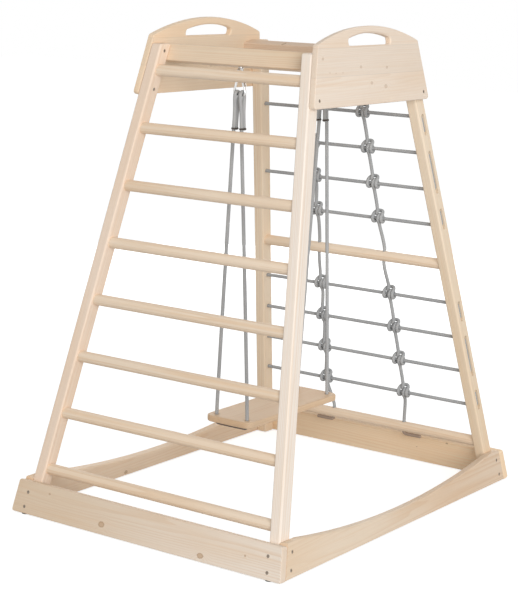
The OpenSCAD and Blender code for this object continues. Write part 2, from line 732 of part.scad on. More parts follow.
front_post(-1);  // post_front_left
front_post(1);  // post_front_right
back_post(-1);  // post_back_left
back_post(1);  // post_back_right
ladder_rung(1);  // ladder_rung_1
ladder_rung(2);  // ladder_rung_2
ladder_rung(3);  // ladder_rung_3
ladder_rung(4);  // ladder_rung_4
ladder_rung(5);  // ladder_rung_5
ladder_rung(6);  // ladder_rung_6
ladder_rung(7);  // ladder_rung_7
ladder_rung(8);  // ladder_rung_8
top_rail(-1);  // front_top_rail
top_rail(1);  // back_top_rail
cap(-1);  // left_cap
cap(1);  // right_cap
face_board(-1);  // front_base_board
face_board(1);  // back_base_board
side_board(-1);  // left_base_board
side_board(1);  // right_base_board
net_rung(net_mid_z, upright_x(net_mid_z));  // net_middle_rung
net_rung(net_low_z, upright_hole_x);  // net_bottom_rung
net_lace(0);  // net_rope_upper
net_lace(field_ropes);  // net_rope_lower
net_upright(-1);  // net_upright_left
net_upright(1);  // net_upright_right
face_board_screws(-1);  // front_base_screws
face_board_screws(1);  // back_base_screws
side_board_screws(-1);  // left_base_screws
side_board_screws(1);  // right_base_screws
cap_bolts();
cap_bolt_nuts();
cap_screws();
rail_screws();
foot_glides();
screw_eye(-1);  // front_screw_eye
screw_eye(1);  // back_screw_eye
hanging_link(-1);  // front_link
hanging_link(1);  // back_link
link_sleeve(-1);  // front_link_sleeve
link_sleeve(1);  // back_link_sleeve
swing_rope(-1);  // front_swing_rope
swing_rope(1);  // back_swing_rope
rope_whippings(-1);  // front_rope_whippings
rope_whippings(1);  // back_rope_whippings
swing_seat();
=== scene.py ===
"""Looks of the wooden climbing frame: sanded pine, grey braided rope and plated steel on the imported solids.

Everything is in metres in the part's own frame: +Z up, the ladder faces -Y and the net faces +Y.
"""
import json
import math

import bmesh
import bpy
from mathutils import Euler, Matrix, Vector

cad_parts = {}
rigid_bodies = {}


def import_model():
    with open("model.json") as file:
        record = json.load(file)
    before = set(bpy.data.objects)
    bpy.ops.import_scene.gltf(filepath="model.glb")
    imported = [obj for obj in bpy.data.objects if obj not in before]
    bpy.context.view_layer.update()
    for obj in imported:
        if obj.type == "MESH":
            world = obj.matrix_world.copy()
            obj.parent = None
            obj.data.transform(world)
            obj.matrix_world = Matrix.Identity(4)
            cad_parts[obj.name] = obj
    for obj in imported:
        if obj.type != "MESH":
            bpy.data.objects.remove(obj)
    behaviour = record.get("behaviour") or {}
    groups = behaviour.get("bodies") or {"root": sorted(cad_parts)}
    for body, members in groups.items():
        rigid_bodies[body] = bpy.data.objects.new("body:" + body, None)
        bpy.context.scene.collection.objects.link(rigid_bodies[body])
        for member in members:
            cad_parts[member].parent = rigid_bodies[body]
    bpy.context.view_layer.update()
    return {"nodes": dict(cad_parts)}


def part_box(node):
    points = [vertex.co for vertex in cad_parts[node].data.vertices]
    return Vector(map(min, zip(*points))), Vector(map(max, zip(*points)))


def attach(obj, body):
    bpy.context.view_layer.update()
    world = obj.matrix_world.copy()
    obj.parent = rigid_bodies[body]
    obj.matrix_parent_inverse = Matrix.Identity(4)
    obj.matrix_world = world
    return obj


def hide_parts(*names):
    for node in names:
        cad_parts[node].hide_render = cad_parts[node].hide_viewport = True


for leftover in list(bpy.data.objects):
    bpy.data.objects.remove(leftover)

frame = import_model()
cad_nodes = frame["nodes"]
scene = bpy.context.scene

MM = 0.001
X_AXIS = Vector((1, 0, 0))
Y_AXIS = Vector((0, 1, 0))
Z_AXIS = Vector((0, 0, 1))
TINY = 1e-6

# Driving sizes that the ropes share with the solids
STANCE_W = 823 * MM
STANCE_D = 1103 * MM
SIDE_LEAN = math.radians(7.35)
FRONT_LEAN = math.radians(14.05)
FRAME_H = 1233 * MM
POST_D = 43 * MM
RUNG_D = 30 * MM
FIRST_RUNG_Z = 114 * MM
CAP_DROP = 135 * MM
RAIL_H = 45 * MM
RAIL_T = 34 * MM
ROPE_D = 10 * MM
ROPE_GAP = 0.6 * MM
ROPE_PITCH = ROPE_D + ROPE_GAP
NET_GAP = 112 * MM
NET_TOP_DROP = 48 * MM
END_SLOT = 40 * MM
SLOT_CLEAR = 1.5 * MM
UPRIGHT_TOP_X = 86 * MM
UPRIGHT_LOW_X = 135 * MM
UPRIGHT_HOLE_X = 123 * MM
UPRIGHT_TAIL = 58 * MM
RUNG_CLEAR = 7 * MM
TAIL_CLEAR = 1.5 * MM
SEAT_Z = 259 * MM
SEAT_T = 18 * MM
SEAT_L = 430 * MM
SEAT_CLEAR = 0.1 * MM
SEAT_HOLE_GAP = 100 * MM
SEAT_HOLE_INSET = 24 * MM
EYE_WIRE = 6 * MM
EYE_RING = 21 * MM
EYE_EDGE = 12 * MM
EYE_COLLAR_T = 3 * MM
EYE_NECK = 1 * MM
LINK_WIRE = 6.5 * MM
LINK_H = 53 * MM
LINK_W = 34 * MM
LINK_CROWN_R = 9 * MM
LINK_CORNER_R = 8 * MM
RUN_GAP = 0.3 * MM
SPLICE_L = 90 * MM
STRAND_JOIN = 45 * MM

SIDE_RUN = math.tan(SIDE_LEAN)
FRONT_RUN = math.tan(FRONT_LEAN)


def half_w(z):
    return STANCE_W / 2 - SIDE_RUN * z


def half_d(z):
    return STANCE_D / 2 - FRONT_RUN * z


def post_y(z):
    return half_d(z) - POST_D / 2


def middle_of(name):
    low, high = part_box(name)
    return (Vector(low) + Vector(high)) / 2


def new_object(name, mesh, body, replaced):
    """Piece that rides on a body and stands for a CAD node, which it hides."""
    piece = bpy.data.objects.new(name, mesh)
    scene.collection.objects.link(piece)
    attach(piece, body)
    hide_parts(replaced)
    return piece


# Helpers for shader nodes: a value is a constant or the output of another node
def feed(tree, socket, value):
    if isinstance(value, bpy.types.NodeSocket):
        tree.links.new(value, socket)
    else:
        socket.default_value = value


def feed_all(tree, made, values):
    for key, value in values.items():
        feed(tree, made.inputs[key], value)


def node(tree, kind, values=None, **settings):
    made = tree.nodes.new(kind)
    for key, value in settings.items():
        setattr(made, key, value)
    feed_all(tree, made, values or {})
    return made


def calc(tree, operation, *values):
    return node(tree, "ShaderNodeMath", dict(enumerate(values)), operation=operation).outputs[0]


def times(tree, a, b):
    return calc(tree, "MULTIPLY", a, b)


def plus(tree, a, b):
    return calc(tree, "ADD", a, b)


def minus(tree, a, b):
    return calc(tree, "SUBTRACT", a, b)


def graded(tree, value, run, start):
    """Start where the value is 0, and start plus run where it is 1."""
    return calc(tree, "MULTIPLY_ADD", value, run, start)


def step(tree, value, low, high):
    """Smooth rise from 0 at low to 1 at high."""
    return node(tree, "ShaderNodeMapRange", {"Value": value, "From Min": low, "From Max": high},
                interpolation_type="SMOOTHSTEP").outputs[0]


def fade(tree, value, low, high):
    """Smooth fall from 1 at low to 0 at high."""
    return minus(tree, 1.0, step(tree, value, low, high))


def vector_calc(tree, operation, *values):
    return node(tree, "ShaderNodeVectorMath", dict(enumerate(values)), operation=operation).outputs


def split(tree, vector):
    return node(tree, "ShaderNodeSeparateXYZ", {0: vector}).outputs


def joined(tree, *parts):
    return node(tree, "ShaderNodeCombineXYZ", dict(enumerate(parts))).outputs[0]


def stretched(tree, vector, scale):
    return node(tree, "ShaderNodeMapping", {"Vector": vector, "Scale": scale}).outputs[0]


def noise(tree, vector, scale=1.0, detail=2.0, rough=0.5):
    values = {"Vector": vector, "Scale": scale, "Detail": detail, "Roughness": rough}
    return node(tree, "ShaderNodeTexNoise", values).outputs[0]


def blend_colour(tree, share, a, b, mode="MIX"):
    made = node(tree, "ShaderNodeMix", data_type="RGBA", blend_type=mode)
    feed_all(tree, made, {0: share, 6: a, 7: b})
    return made.outputs[2]


def bumped(tree, height, strength, distance):
    values = {"Height": height, "Strength": strength, "Distance": distance}
    return node(tree, "ShaderNodeBump", values).outputs[0]


def new_material(name):
    material = bpy.data.materials.new(name)
    material.use_nodes = True
    tree = material.node_tree
    return material, tree, tree.nodes["Principled BSDF"]


def linear(*levels):
    """Colour for a shader, from its levels of 0 to 255 on a screen."""
    shares = [level / 255 for level in levels]
    return (*(v / 12.92 if v <= 0.04045 else ((v + 0.055) / 1.055) ** 2.4 for v in shares), 1.0)


# Pine: rings round a pith beside the piece, fibres along it, late wood darker than early wood
PINE_PALE = linear(243, 226, 203)
PINE_LATE = linear(226, 194, 157)
PINE_WARM = linear(236, 209, 176)
PINE_KNOT = linear(196, 163, 128)
PINE_KNOT_RIM = linear(168, 130, 94)
PINE_END = (0.99, 0.96, 0.925, 1.0)
PINE_ROUGH = 0.48
PINE_ROUGHER = 0.16
PINE_SPECULAR = 0.3
PINE_BUMP = 0.25
PINE_RELIEF = 0.25 * MM
RING_PITCH = 3.9 * MM

# Noises of the wood: scales across the grain, across it again, and along it; then roughness and detail
BEND_SCALE = (7, 7, 1.1)
WAVER_SCALE = (60, 60, 6)
YEAR_SCALE = (28, 28, 0.8)
FIBRE_SCALE = (900, 900, 16)
STREAK_SCALE = (170, 170, 2.6)
CLOUD_SCALE = (9, 9, 2.2)
PATCH_SCALE = (16, 16, 1.6)
RAGGED_SCALE = (180, 180, 180)
STREAK_ROUGH = 0.55
FIBRE_ROUGH = 0.6
SOFT_DETAIL = 1.0

# How far the noises shift the rings
BEND_SHIFT = 22 * MM
WAVER_SHIFT = 1.6 * MM
YEAR_SHIFT = 11 * MM

# Shares of a ring over which its late wood comes and goes, and levels over which the other figures come
LATE_RISE = (0.35, 0.92)
LATE_FALL = (0.93, 1.0)
STREAK_RISE = (0.48, 0.75)
CLOUD_RISE = (0.4, 0.75)
PATCH_RISE = (0.3, 0.7)

# How strongly each figure shows in the colour, and how high it stands
LATE_LEAST = 0.14
LATE_MORE = 0.42
STREAK_SHARE = 0.42
CLOUD_SHARE = 0.52
KNOT_SHARE = 0.7
RIM_SHARE = 0.5
FIBRE_SHADE = 0.12
SEAM_SHADE = 0.16
FIBRE_HEIGHT = 0.6
LATE_HEIGHT = 0.4

# Knots, in shares of a knot's radius: it is longer along the grain, and it draws the rings round itself
KNOT_FLATTEN = (1.0, 0.0, 0.72)
KNOT_RAGGED = 0.5
KNOT_FALL = (0.8, 1.05)
RIM_RISE = (0.55, 0.9)
RIM_FALL = (0.95, 1.2)
PULL_FALL = (0.4, 4.0)
PULL = 1.4

# Glued planks: how far the next plank's grain lies from this one's, and how much darker every other one is
PLANK_SHIFT = (0.083, -0.021, 0.61)
PLANK_SHADE = 0.035
SEAM_FALL = (0.2 * MM, 0.7 * MM)

DRIFT_RUN = 300 * MM
END_RISE = (0.75, 0.95)


def make_pine_group():
    group = bpy.data.node_groups.new("pine", "ShaderNodeTree")
    for way, kind, names in (
            ("INPUT", "NodeSocketVector", ("Vector",)),
            ("INPUT", "NodeSocketFloat", ("Swirl", "Knot", "Rim", "End", "Seam", "Tone", "Rings")),
            ("INPUT", "NodeSocketColor", ("Tint",)),
            ("OUTPUT", "NodeSocketColor", ("Color",)),
            ("OUTPUT", "NodeSocketFloat", ("Roughness", "Height"))):
        for name in names:
            group.interface.new_socket(name, in_out=way, socket_type=kind)
    given = node(group, "NodeGroupInput").outputs

    def figure(scale, detail=2.0, rough=0.5):
        return noise(group, stretched(group, given["Vector"], scale), detail=detail, rough=rough)

    x, y, _ = split(group, given["Vector"])
    depth = vector_calc(group, "LENGTH", joined(group, x, y))["Value"]
    for shift in (graded(group, figure(BEND_SCALE, SOFT_DETAIL), BEND_SHIFT, -BEND_SHIFT / 2),
                  times(group, figure(WAVER_SCALE), WAVER_SHIFT),
                  times(group, figure(YEAR_SCALE), YEAR_SHIFT),
                  given["Swirl"]):
        depth = plus(group, depth, shift)
    ring = calc(group, "FRACT", calc(group, "DIVIDE", depth, RING_PITCH))
    late = times(group, step(group, ring, *LATE_RISE), fade(group, ring, *LATE_FALL))
    patch = step(group, figure(PATCH_SCALE), *PATCH_RISE)
    grown = times(group, late, graded(group, patch, LATE_MORE, LATE_LEAST))
    streak = step(group, figure(STREAK_SCALE, rough=STREAK_ROUGH), *STREAK_RISE)
    cloud = step(group, figure(CLOUD_SCALE), *CLOUD_RISE)
    fibre = figure(FIBRE_SCALE, rough=FIBRE_ROUGH)
    shade = times(group, graded(group, fibre, FIBRE_SHADE, 1 - FIBRE_SHADE / 2), given["Tone"])
    shade = times(group, shade, graded(group, given["Seam"], -SEAM_SHADE, 1.0))

    colour = blend_colour(group, times(group, grown, given["Rings"]), PINE_PALE, PINE_LATE)
    colour = blend_colour(group, times(group, streak, STREAK_SHARE), colour, PINE_WARM)
    colour = blend_colour(group, times(group, cloud, CLOUD_SHARE), colour, PINE_WARM)
    colour = blend_colour(group, 1.0, colour, shade, "MULTIPLY")
    colour = blend_colour(group, 1.0, colour, given["Tint"], "MULTIPLY")
    colour = blend_colour(group, given["End"], colour, PINE_END, "MULTIPLY")
    colour = blend_colour(group, times(group, given["Knot"], KNOT_SHARE), colour, PINE_KNOT)
    colour = blend_colour(group, times(group, given["Rim"], RIM_SHARE), colour, PINE_KNOT_RIM)
    rough = graded(group, fibre, PINE_ROUGHER, PINE_ROUGH)
    height = plus(group, times(group, fibre, FIBRE_HEIGHT), times(group, late, LATE_HEIGHT))
    height = minus(group, height, given["Seam"])
    node(group, "NodeGroupOutput", {"Color": colour, "Roughness": rough, "Height": height})
    return group


PINE = make_pine_group()


def knot_fields(tree, local, knots, to_local):
    """Swirl of the grain, face and rim of the knots, each a point on the piece and a radius."""
    swirl = face = rim = 0.0
    rough = noise(tree, stretched(tree, local, RAGGED_SCALE), detail=SOFT_DETAIL)
    ragged = graded(tree, rough, KNOT_RAGGED, -KNOT_RAGGED / 2)
    for point, radius in knots:
        away = vector_calc(tree, "SUBTRACT", local, to_local @ Vector(point))["Vector"]
        far = vector_calc(tree, "LENGTH", stretched(tree, away, KNOT_FLATTEN))["Value"]
        share = plus(tree, calc(tree, "DIVIDE", far, radius), ragged)
        edge = times(tree, step(tree, share, *RIM_RISE), fade(tree, share, *RIM_FALL))
        swirl = plus(tree, swirl, times(tree, fade(tree, share, *PULL_FALL), radius * PULL))
        face = calc(tree, "MAXIMUM", face, fade(tree, share, *KNOT_FALL))
        rim = calc(tree, "MAXIMUM", rim, edge)
    return swirl, face, rim


def plank_fields(tree, local, seams):
    """Number of the glued plank that a point lies in, and its nearness to a glue line."""
    plank = seam = 0.0
    across = split(tree, local)[0]
    for at in seams:
        plank = plus(tree, plank, calc(tree, "GREATER_THAN", across, at))
        gap = calc(tree, "ABSOLUTE", minus(tree, across, at))
        seam = calc(tree, "MAXIMUM", seam, fade(tree, gap, *SEAM_FALL))
    return plank, seam


def pine(name, centre, across, grain, pith, tint, drift=None, knots=(), seams=(), rings=1.0, depth=1.0):
    """Pine with its grain along one direction; pith is where the log's heart lies, beside the piece.

    Drift is the tint that the wood reaches at its far end. Seams are distances across the piece where two
    planks are glued; each plank has its own grain. Rings and depth are how strongly rings and knots show.
    """
    material, tree, surface = new_material(name)
    grain = grain.normalized()
    across = (across - grain * across.dot(grain)).normalized()
    turn = Matrix((across, grain.cross(across), grain))
    shift = Vector((*pith, 0.0)) - turn @ centre
    place = node(tree, "ShaderNodeTexCoord").outputs
    local = node(tree, "ShaderNodeMapping", {"Vector": place["Object"], "Location": shift,
                                             "Rotation": turn.to_euler()}).outputs[0]
    facing = calc(tree, "ABSOLUTE", vector_calc(tree, "DOT_PRODUCT", place["Normal"], grain)["Value"])
    looks = {"Vector": local, "Tone": 1.0, "Rings": rings, "Tint": (*tint, 1.0),
             "End": step(tree, facing, *END_RISE)}
    if drift:
        along = step(tree, split(tree, local)[2], -DRIFT_RUN, DRIFT_RUN)
        looks["Tint"] = blend_colour(tree, along, (*tint, 1.0), (*drift, 1.0))
    if seams:
        plank, looks["Seam"] = plank_fields(tree, local, [at + pith[0] for at in seams])
        jump = joined(tree, *(times(tree, plank, way) for way in PLANK_SHIFT))
        looks["Vector"] = vector_calc(tree, "ADD", local, jump)["Vector"]
        looks["Tone"] = graded(tree, calc(tree, "PINGPONG", plank, 1.0), -PLANK_SHADE, 1.0)
    if knots:
        to_local = Matrix.Translation(shift) @ turn.to_4x4()
        looks["Swirl"], face, rim = knot_fields(tree, local, knots, to_local)
        looks["Knot"] = times(tree, face, depth)
        looks["Rim"] = times(tree, rim, depth)
    wood = node(tree, "ShaderNodeGroup", looks, node_tree=PINE).outputs
    feed_all(tree, surface, {"Base Color": wood["Color"], "Roughness": wood["Roughness"],
                             "Normal": bumped(tree, wood["Height"], PINE_BUMP, PINE_RELIEF),
                             "Specular IOR Level": PINE_SPECULAR})
    return material


# Hard finishes: mottled, with fine scratches
MOTTLE_SCALE = 90.0
MOTTLE_DETAIL = 3.0
SCRATCH_ROUGHER = 0.18
SCRATCH_BUMP = 0.12
SCRATCH_DEPTH = 0.1 * MM


def hard_finish(name, dark, light, metallic, rough, scratch_scale):
    material, tree, surface = new_material(name)
    place = node(tree, "ShaderNodeTexCoord").outputs["Object"]
    mottle = noise(tree, place, MOTTLE_SCALE, MOTTLE_DETAIL)
    scratch = noise(tree, stretched(tree, place, scratch_scale))
    feed_all(tree, surface, {"Base Color": blend_colour(tree, mottle, dark, light), "Metallic": metallic,
                             "Roughness": graded(tree, scratch, SCRATCH_ROUGHER, rough),
                             "Normal": bumped(tree, scratch, SCRATCH_BUMP, SCRATCH_DEPTH)})
    return material


STEEL = hard_finish("plated_steel", linear(205, 206, 207), linear(232, 232, 230),
                    metallic=1.0, rough=0.14, scratch_scale=(500, 500, 2500))
SCREW = hard_finish("dark_screw_metal", linear(140, 129, 117), linear(172, 160, 146),
                    metallic=0.5, rough=0.34, scratch_scale=(2500, 2500, 2500))
THREAD = hard_finish("whipping_thread", linear(60, 52, 46), linear(84, 74, 66),
                     metallic=0.0, rough=0.6, scratch_scale=(1500, 1500, 3000))
GLIDE = hard_finish("glide_plastic_matt", linear(34, 33, 32), linear(52, 50, 49),
                    metallic=0.0, rough=0.55, scratch_scale=(900, 900, 900))


# Routes of the net's ropes, as in the solids
NET_LOW_Z = FIRST_RUNG_Z
NET_HIGH_Z = FRAME_H - CAP_DROP - NET_TOP_DROP
NET_LEVELS = 4
NET_PITCH = (NET_HIGH_Z - NET_LOW_Z - 3 * NET_GAP) / (2 * (NET_LEVELS - 1))
NET_MID_Z = NET_LOW_Z + 2 * NET_GAP + (NET_LEVELS - 1) * NET_PITCH
UPPER_ZS = [NET_HIGH_Z - i * NET_PITCH for i in range(NET_LEVELS)]
LOWER_ZS = [NET_MID_Z - NET_GAP - i * NET_PITCH for i in range(NET_LEVELS)]
SLOT_IN = (ROPE_D / 2 + SLOT_CLEAR) / math.cos(SIDE_LEAN)
ROPE_BEND = 7 * MM
TAIL_BEND = 9 * MM
RUNG_LEAD = RUNG_D / 2 + RUNG_CLEAR
TAIL_Z = NET_LOW_Z - RUNG_D / 2 - ROPE_D / 2 - TAIL_CLEAR
BEND_STEPS = 8

# Cow hitch of an upright on a level rope, in rope pitches: along the level rope, out of the net, up the net
HITCH_IN_SHARES = ((-0.15, 0, 2.9), (-0.32, -0.08, 1.95), (-0.53, 0.02, 1.14))
HITCH_LEG_SHARES = ((-0.56, 0.78, 0.78), (-0.72, 1.09, 0), (-1.1, 0.8, -0.76), (-1.46, 0, -1.08),
                    (-1.6, -0.78, -0.76), (-1.6, -1.09, 0), (-1.6, -0.82, 0.76), (-1.6, -0.15, 1.34),
                    (-1.3, 0.62, 1.86), (-0.68, 1.2, 2.12))
HITCH_BIGHT_SHARE = (0, 1.38, 2.18)
HITCH_OUT_SHARES = ((0.53, 0.06, 1.12), (0.5, -0.78, 0.78), (0.38, -1.09, 0), (0.26, -0.8, -0.78),
                    (0.18, -0.25, -1.7), (0.12, 0, -2.6))
# Soft rope gives where it crosses itself, so a drawn hitch is tighter than its solid
HITCH_SQUEEZE = 0.93
HITCH_TUCK = 0.66


def corner(a, b, c, radius):
    """Arc that rounds the corner b of a route from a to c."""
    u = (a - b).normalized()
    v = (c - b).normalized()
    half = u.angle(v) / 2
    middle = b + (u + v).normalized() * radius / math.sin(half)
    start = b + u * radius / math.tan(half) - middle
    end = b + v * radius / math.tan(half) - middle
    turn = math.pi - 2 * half
    arc = []
    for k in range(BEND_STEPS + 1):
        share = k / BEND_STEPS
        spoke = start * math.sin(turn * (1 - share)) + end * math.sin(turn * share)
        arc.append(middle + spoke / math.sin(turn))
    return arc


def lace_route(zs):
    """To and fro across the net, from an end slot in the right post to another."""
    def at(z, side):
        return Vector((side * (half_w(z) - SLOT_IN), post_y(z), z))
    points = [at(zs[0] - END_SLOT, 1), at(zs[0], 1), at(zs[0], -1), at(zs[1], -1), at(zs[1], 1),
              at(zs[2], 1), at(zs[2], -1), at(zs[3], -1), at(zs[3], 1), at(zs[3] + END_SLOT, 1)]
    route = [points[0]]
    for a, b, c in zip(points, points[1:], points[2:]):
        route += corner(a, b, c, ROPE_BEND)
    return route + [points[-1]]


def upright_x(z):
    share = (z - LOWER_ZS[-1]) / (NET_HIGH_Z - LOWER_ZS[-1])
    return UPRIGHT_LOW_X + (UPRIGHT_TOP_X - UPRIGHT_LOW_X) * share


def drawn_in(share):
    """A share beyond one pitch is drawn in towards the level rope."""
    return math.copysign(min(abs(share), 1.0) + HITCH_TUCK * max(abs(share) - 1.0, 0.0), share)


def hitch(z, side):
    other_leg = tuple((-along, out, up) for along, out, up in reversed(HITCH_LEG_SHARES))
    shares = HITCH_IN_SHARES + HITCH_LEG_SHARES + (HITCH_BIGHT_SHARE,) + other_leg + HITCH_OUT_SHARES
    middle = Vector((side * upright_x(z), post_y(z), z))
    lean = Matrix.Rotation(FRONT_LEAN, 3, "X")
    route = []
    for along, out, up in shares:
        tucked = Vector((drawn_in(along), out, drawn_in(up) if up > 0 else up))
        route.append(middle + ROPE_PITCH * HITCH_SQUEEZE * (lean @ tucked))
    return route


def upright_route(side):
    """Down the net with a hitch on each level rope, through both rungs, to a tail under the lower one."""
    through_x = side * upright_x(NET_MID_Z)
    hole_x = side * UPRIGHT_HOLE_X
    tail_x = hole_x + side * UPRIGHT_TAIL
    low_y = post_y(NET_LOW_Z)
    tail = Vector((tail_x, low_y, TAIL_Z))
    route = [p for z in UPPER_ZS for p in hitch(z, side)]
    route += [Vector((through_x, post_y(NET_MID_Z), NET_MID_Z + rise)) for rise in (RUNG_LEAD, -RUNG_LEAD)]
    route += [p for z in LOWER_ZS for p in hitch(z, side)]
    route += [Vector((hole_x, low_y, NET_LOW_Z + rise)) for rise in (RUNG_LEAD, 0.0)]
    route += corner(route[-1], Vector((hole_x, low_y, TAIL_Z)), tail, TAIL_BEND)
    return route + [tail]


# Routes of the swing's ropes, from the links that hang on the screw eyes to the seat
RAIL_LOW = FRAME_H / math.cos(FRONT_LEAN) + POST_D * math.sin(FRONT_LEAN) - RAIL_H
EYE_DEPTH = POST_D * math.cos(FRONT_LEAN) + RAIL_T - EYE_EDGE
EYE_UP = RAIL_LOW - EYE_COLLAR_T - EYE_NECK - EYE_RING / 2
EYE_Y = half_d(0) - EYE_UP * math.sin(FRONT_LEAN) - EYE_DEPTH * math.cos(FRONT_LEAN)
PIVOT_Z = EYE_UP * math.cos(FRONT_LEAN) - EYE_DEPTH * math.sin(FRONT_LEAN) - EYE_RING / 2
LINK_TOP_Z = PIVOT_Z + EYE_WIRE / 2 + RUN_GAP + LINK_WIRE / 2
LINK_LOW_Z = LINK_TOP_Z - LINK_H
LOOP_R = LINK_WIRE / 2 + RUN_GAP + ROPE_D / 2
LOOP_X = max(ROPE_PITCH / 2, LINK_W / 2 - LINK_WIRE / 2 - ROPE_D / 2 - ROPE_GAP)
LOOP_STEPS = 12
STRAND_Y = ROPE_PITCH / 2
JOINED_Z = LINK_LOW_Z - STRAND_JOIN
SPLICE_Z = LINK_LOW_Z - SPLICE_L
HOLE_X = SEAT_HOLE_GAP / 2
HOLE_Y = SEAT_L / 2 - SEAT_HOLE_INSET
LEAD_Z = SEAT_Z + ROPE_D
UNDER_Z = SEAT_Z - SEAT_T - ROPE_D / 2 - SEAT_CLEAR


def strand(side, y_way, inward, z):
    """Point of a doubled rope end between its link and the seat's hole, set inward from the middle line."""
    share = (LINK_LOW_Z - z) / (LINK_LOW_Z - LEAD_Z)
    return Vector((side * (LOOP_X + (HOLE_X - LOOP_X) * share),
                   y_way * (EYE_Y + (HOLE_Y - EYE_Y) * share - inward), z))


def loop_point(side, y_way, angle):
    return Vector((side * LOOP_X, y_way * (EYE_Y - LOOP_R * math.cos(angle)),
                   LINK_LOW_Z + LOOP_R * math.sin(angle)))


def swing_half(side, y_way):
    """From the spliced end up round the link's base, down through the seat's hole and in under the seat."""
    up = ((STRAND_Y, SPLICE_Z), (STRAND_Y, JOINED_Z), (LOOP_R, LINK_LOW_Z - LOOP_R))
    above = Vector((side * HOLE_X, y_way * HOLE_Y, LEAD_Z))
    below = Vector((side * HOLE_X, y_way * HOLE_Y, UNDER_Z))
    route = [strand(side, y_way, inward, z) for inward, z in up]
    route += [loop_point(side, y_way, math.pi * k / LOOP_STEPS) for k in range(LOOP_STEPS + 1)]
    route += [strand(side, y_way, -inward, z) for inward, z in reversed(up)]
    return route + [above] + corner(above, below, Vector((0, y_way * HOLE_Y, UNDER_Z)), ROPE_BEND)


def swing_route(y_way):
    return swing_half(1, y_way) + swing_half(-1, y_way)[::-1]


# Tubes along a route
TIP_BULGE = 0.25
STEEP = 0.9


def curve_through(points, spacing):
    """Close points on a centripetal curve through the given ones."""
    ends = [2 * points[0] - points[1]] + list(points) + [2 * points[-1] - points[-2]]
    curve = []
    for p0, p1, p2, p3 in zip(ends, ends[1:], ends[2:], ends[3:]):
        t1 = math.sqrt(max((p1 - p0).length, TINY))
        t2 = t1 + math.sqrt(max((p2 - p1).length, TINY))
        t3 = t2 + math.sqrt(max((p3 - p2).length, TINY))
        count = max(2, int((p2 - p1).length / spacing))
        for k in range(count):
            t = t1 + (t2 - t1) * k / count
            a1 = p0.lerp(p1, t / t1)
            a2 = p1.lerp(p2, (t - t1) / (t2 - t1))
            a3 = p2.lerp(p3, (t - t2) / (t3 - t2))
            b1 = a1.lerp(a2, t / t2)
            b2 = a2.lerp(a3, (t - t1) / (t3 - t1))
            curve.append(b1.lerp(b2, (t - t1) / (t2 - t1)))
    return curve + [points[-1].copy()]


def smooth(points, spacing):
    """Points at an even spacing along a smooth curve through the given ones."""
    curve = curve_through(points, spacing / 2)
    lengths = [0.0]
    for a, b in zip(curve, curve[1:]):
        lengths.append(lengths[-1] + (b - a).length)
    count = max(2, round(lengths[-1] / spacing))
    even = []
    index = 0
    for k in range(count + 1):
        want = lengths[-1] * k / count
        while index < len(curve) - 2 and lengths[index + 1] < want:
            index += 1
        run = max(lengths[index + 1] - lengths[index], TINY)
        even.append(curve[index].lerp(curve[index + 1], (want - lengths[index]) / run))
    return even


def frames(points, closed):
    """Each point with two directions square to the route, carried along without twist."""
    last = len(points) - 1
    made = []
    side = None
    for i, point in enumerate(points):
        after = points[(i + 1) % len(points)] if closed else points[min(i + 1, last)]
        before = points[i - 1] if closed or i else points[0]
        along = (after - before).normalized()
        if side is None:
            side = along.cross(Z_AXIS if abs(along.z) < STEEP else Y_AXIS)
        side = (side - along * side.dot(along)).normalized()
        made.append((point, side.copy(), along.cross(side)))
    return made


def tube(name, points, radius, sides, relief=0.0, closed=False):
    """Tube round a line of points; relief sinks every other point, as the plaits of a braid lie.

    The UVs count the rings and the points round them.
    """
    bm = bmesh.new()
    uv = bm.loops.layers.uv.new("UVMap")
    rings = []
    for i, (point, u, v) in enumerate(frames(points, closed)):
        ring = []
        for k in range(sides):
            angle = 2 * math.pi * k / sides
            r = radius - (relief if (i + k) % 2 else 0.0)
            ring.append(bm.verts.new(point + r * (math.cos(angle) * u + math.sin(angle) * v)))
        rings.append(ring)
    for i, (a, b) in enumerate(zip(rings, rings[1:] + (rings[:1] if closed else []))):
        for k in range(sides):
            n = (k + 1) % sides
            face = bm.faces.new((a[k], a[n], b[n], b[k]))
            face.smooth = True
            for loop, place in zip(face.loops, ((i, k), (i, k + 1), (i + 1, k + 1), (i + 1, k))):
                loop[uv].uv = place
    if not closed:
        for ring, outward in ((rings[0], points[0] - points[1]), (rings[-1], points[-1] - points[-2])):
            centre = sum((vert.co for vert in ring), Vector()) / sides
            tip = bm.verts.new(centre + outward.normalized() * radius * TIP_BULGE)
            for k in range(sides):
                bm.faces.new((ring[k], ring[(k + 1) % sides], tip)).smooth = True
    bmesh.ops.recalc_face_normals(bm, faces=bm.faces)
    mesh = bpy.data.meshes.new(name)
    bm.to_mesh(mesh)
    bm.free()
    return mesh


# Braided rope
ROPE_SIDES = 12
BRAID_STEP = 2.6 * MM
BRAID_RELIEF = 0.4 * MM
ROPE_DARK = linear(166, 168, 169)
ROPE_LIGHT = linear(202, 203, 204)
ROPE_WORN = linear(212, 212, 210)
# Painted shade: the rope's run under the seat is darkened towards this colour
ROPE_PAINTED_SHADE = linear(112, 92, 82)
# Painted shade: the net's tails under the bottom rung are tinted towards this shaded tan
ROPE_TAIL_PAINTED_SHADE = linear(178, 151, 130)
YARN_SCALE = (1.4, 2.6, 1)
YARN_RISE = (0.3, 0.7)
FUZZ_SCALE = 1500.0
WEAR_SCALE = 14.0
WEAR_RISE = (0.4, 0.7)
WEAR_SHARE = 0.3
PAINTED_SHADE_SHARE = 0.8
PAINTED_SHADE_FALL = (UNDER_Z + 1 * MM, UNDER_Z + 4 * MM)
TAIL_SHADE_SHARE = 0.85
TAIL_SHADE_FALL = (TAIL_Z + 5 * MM, TAIL_Z + 8 * MM)
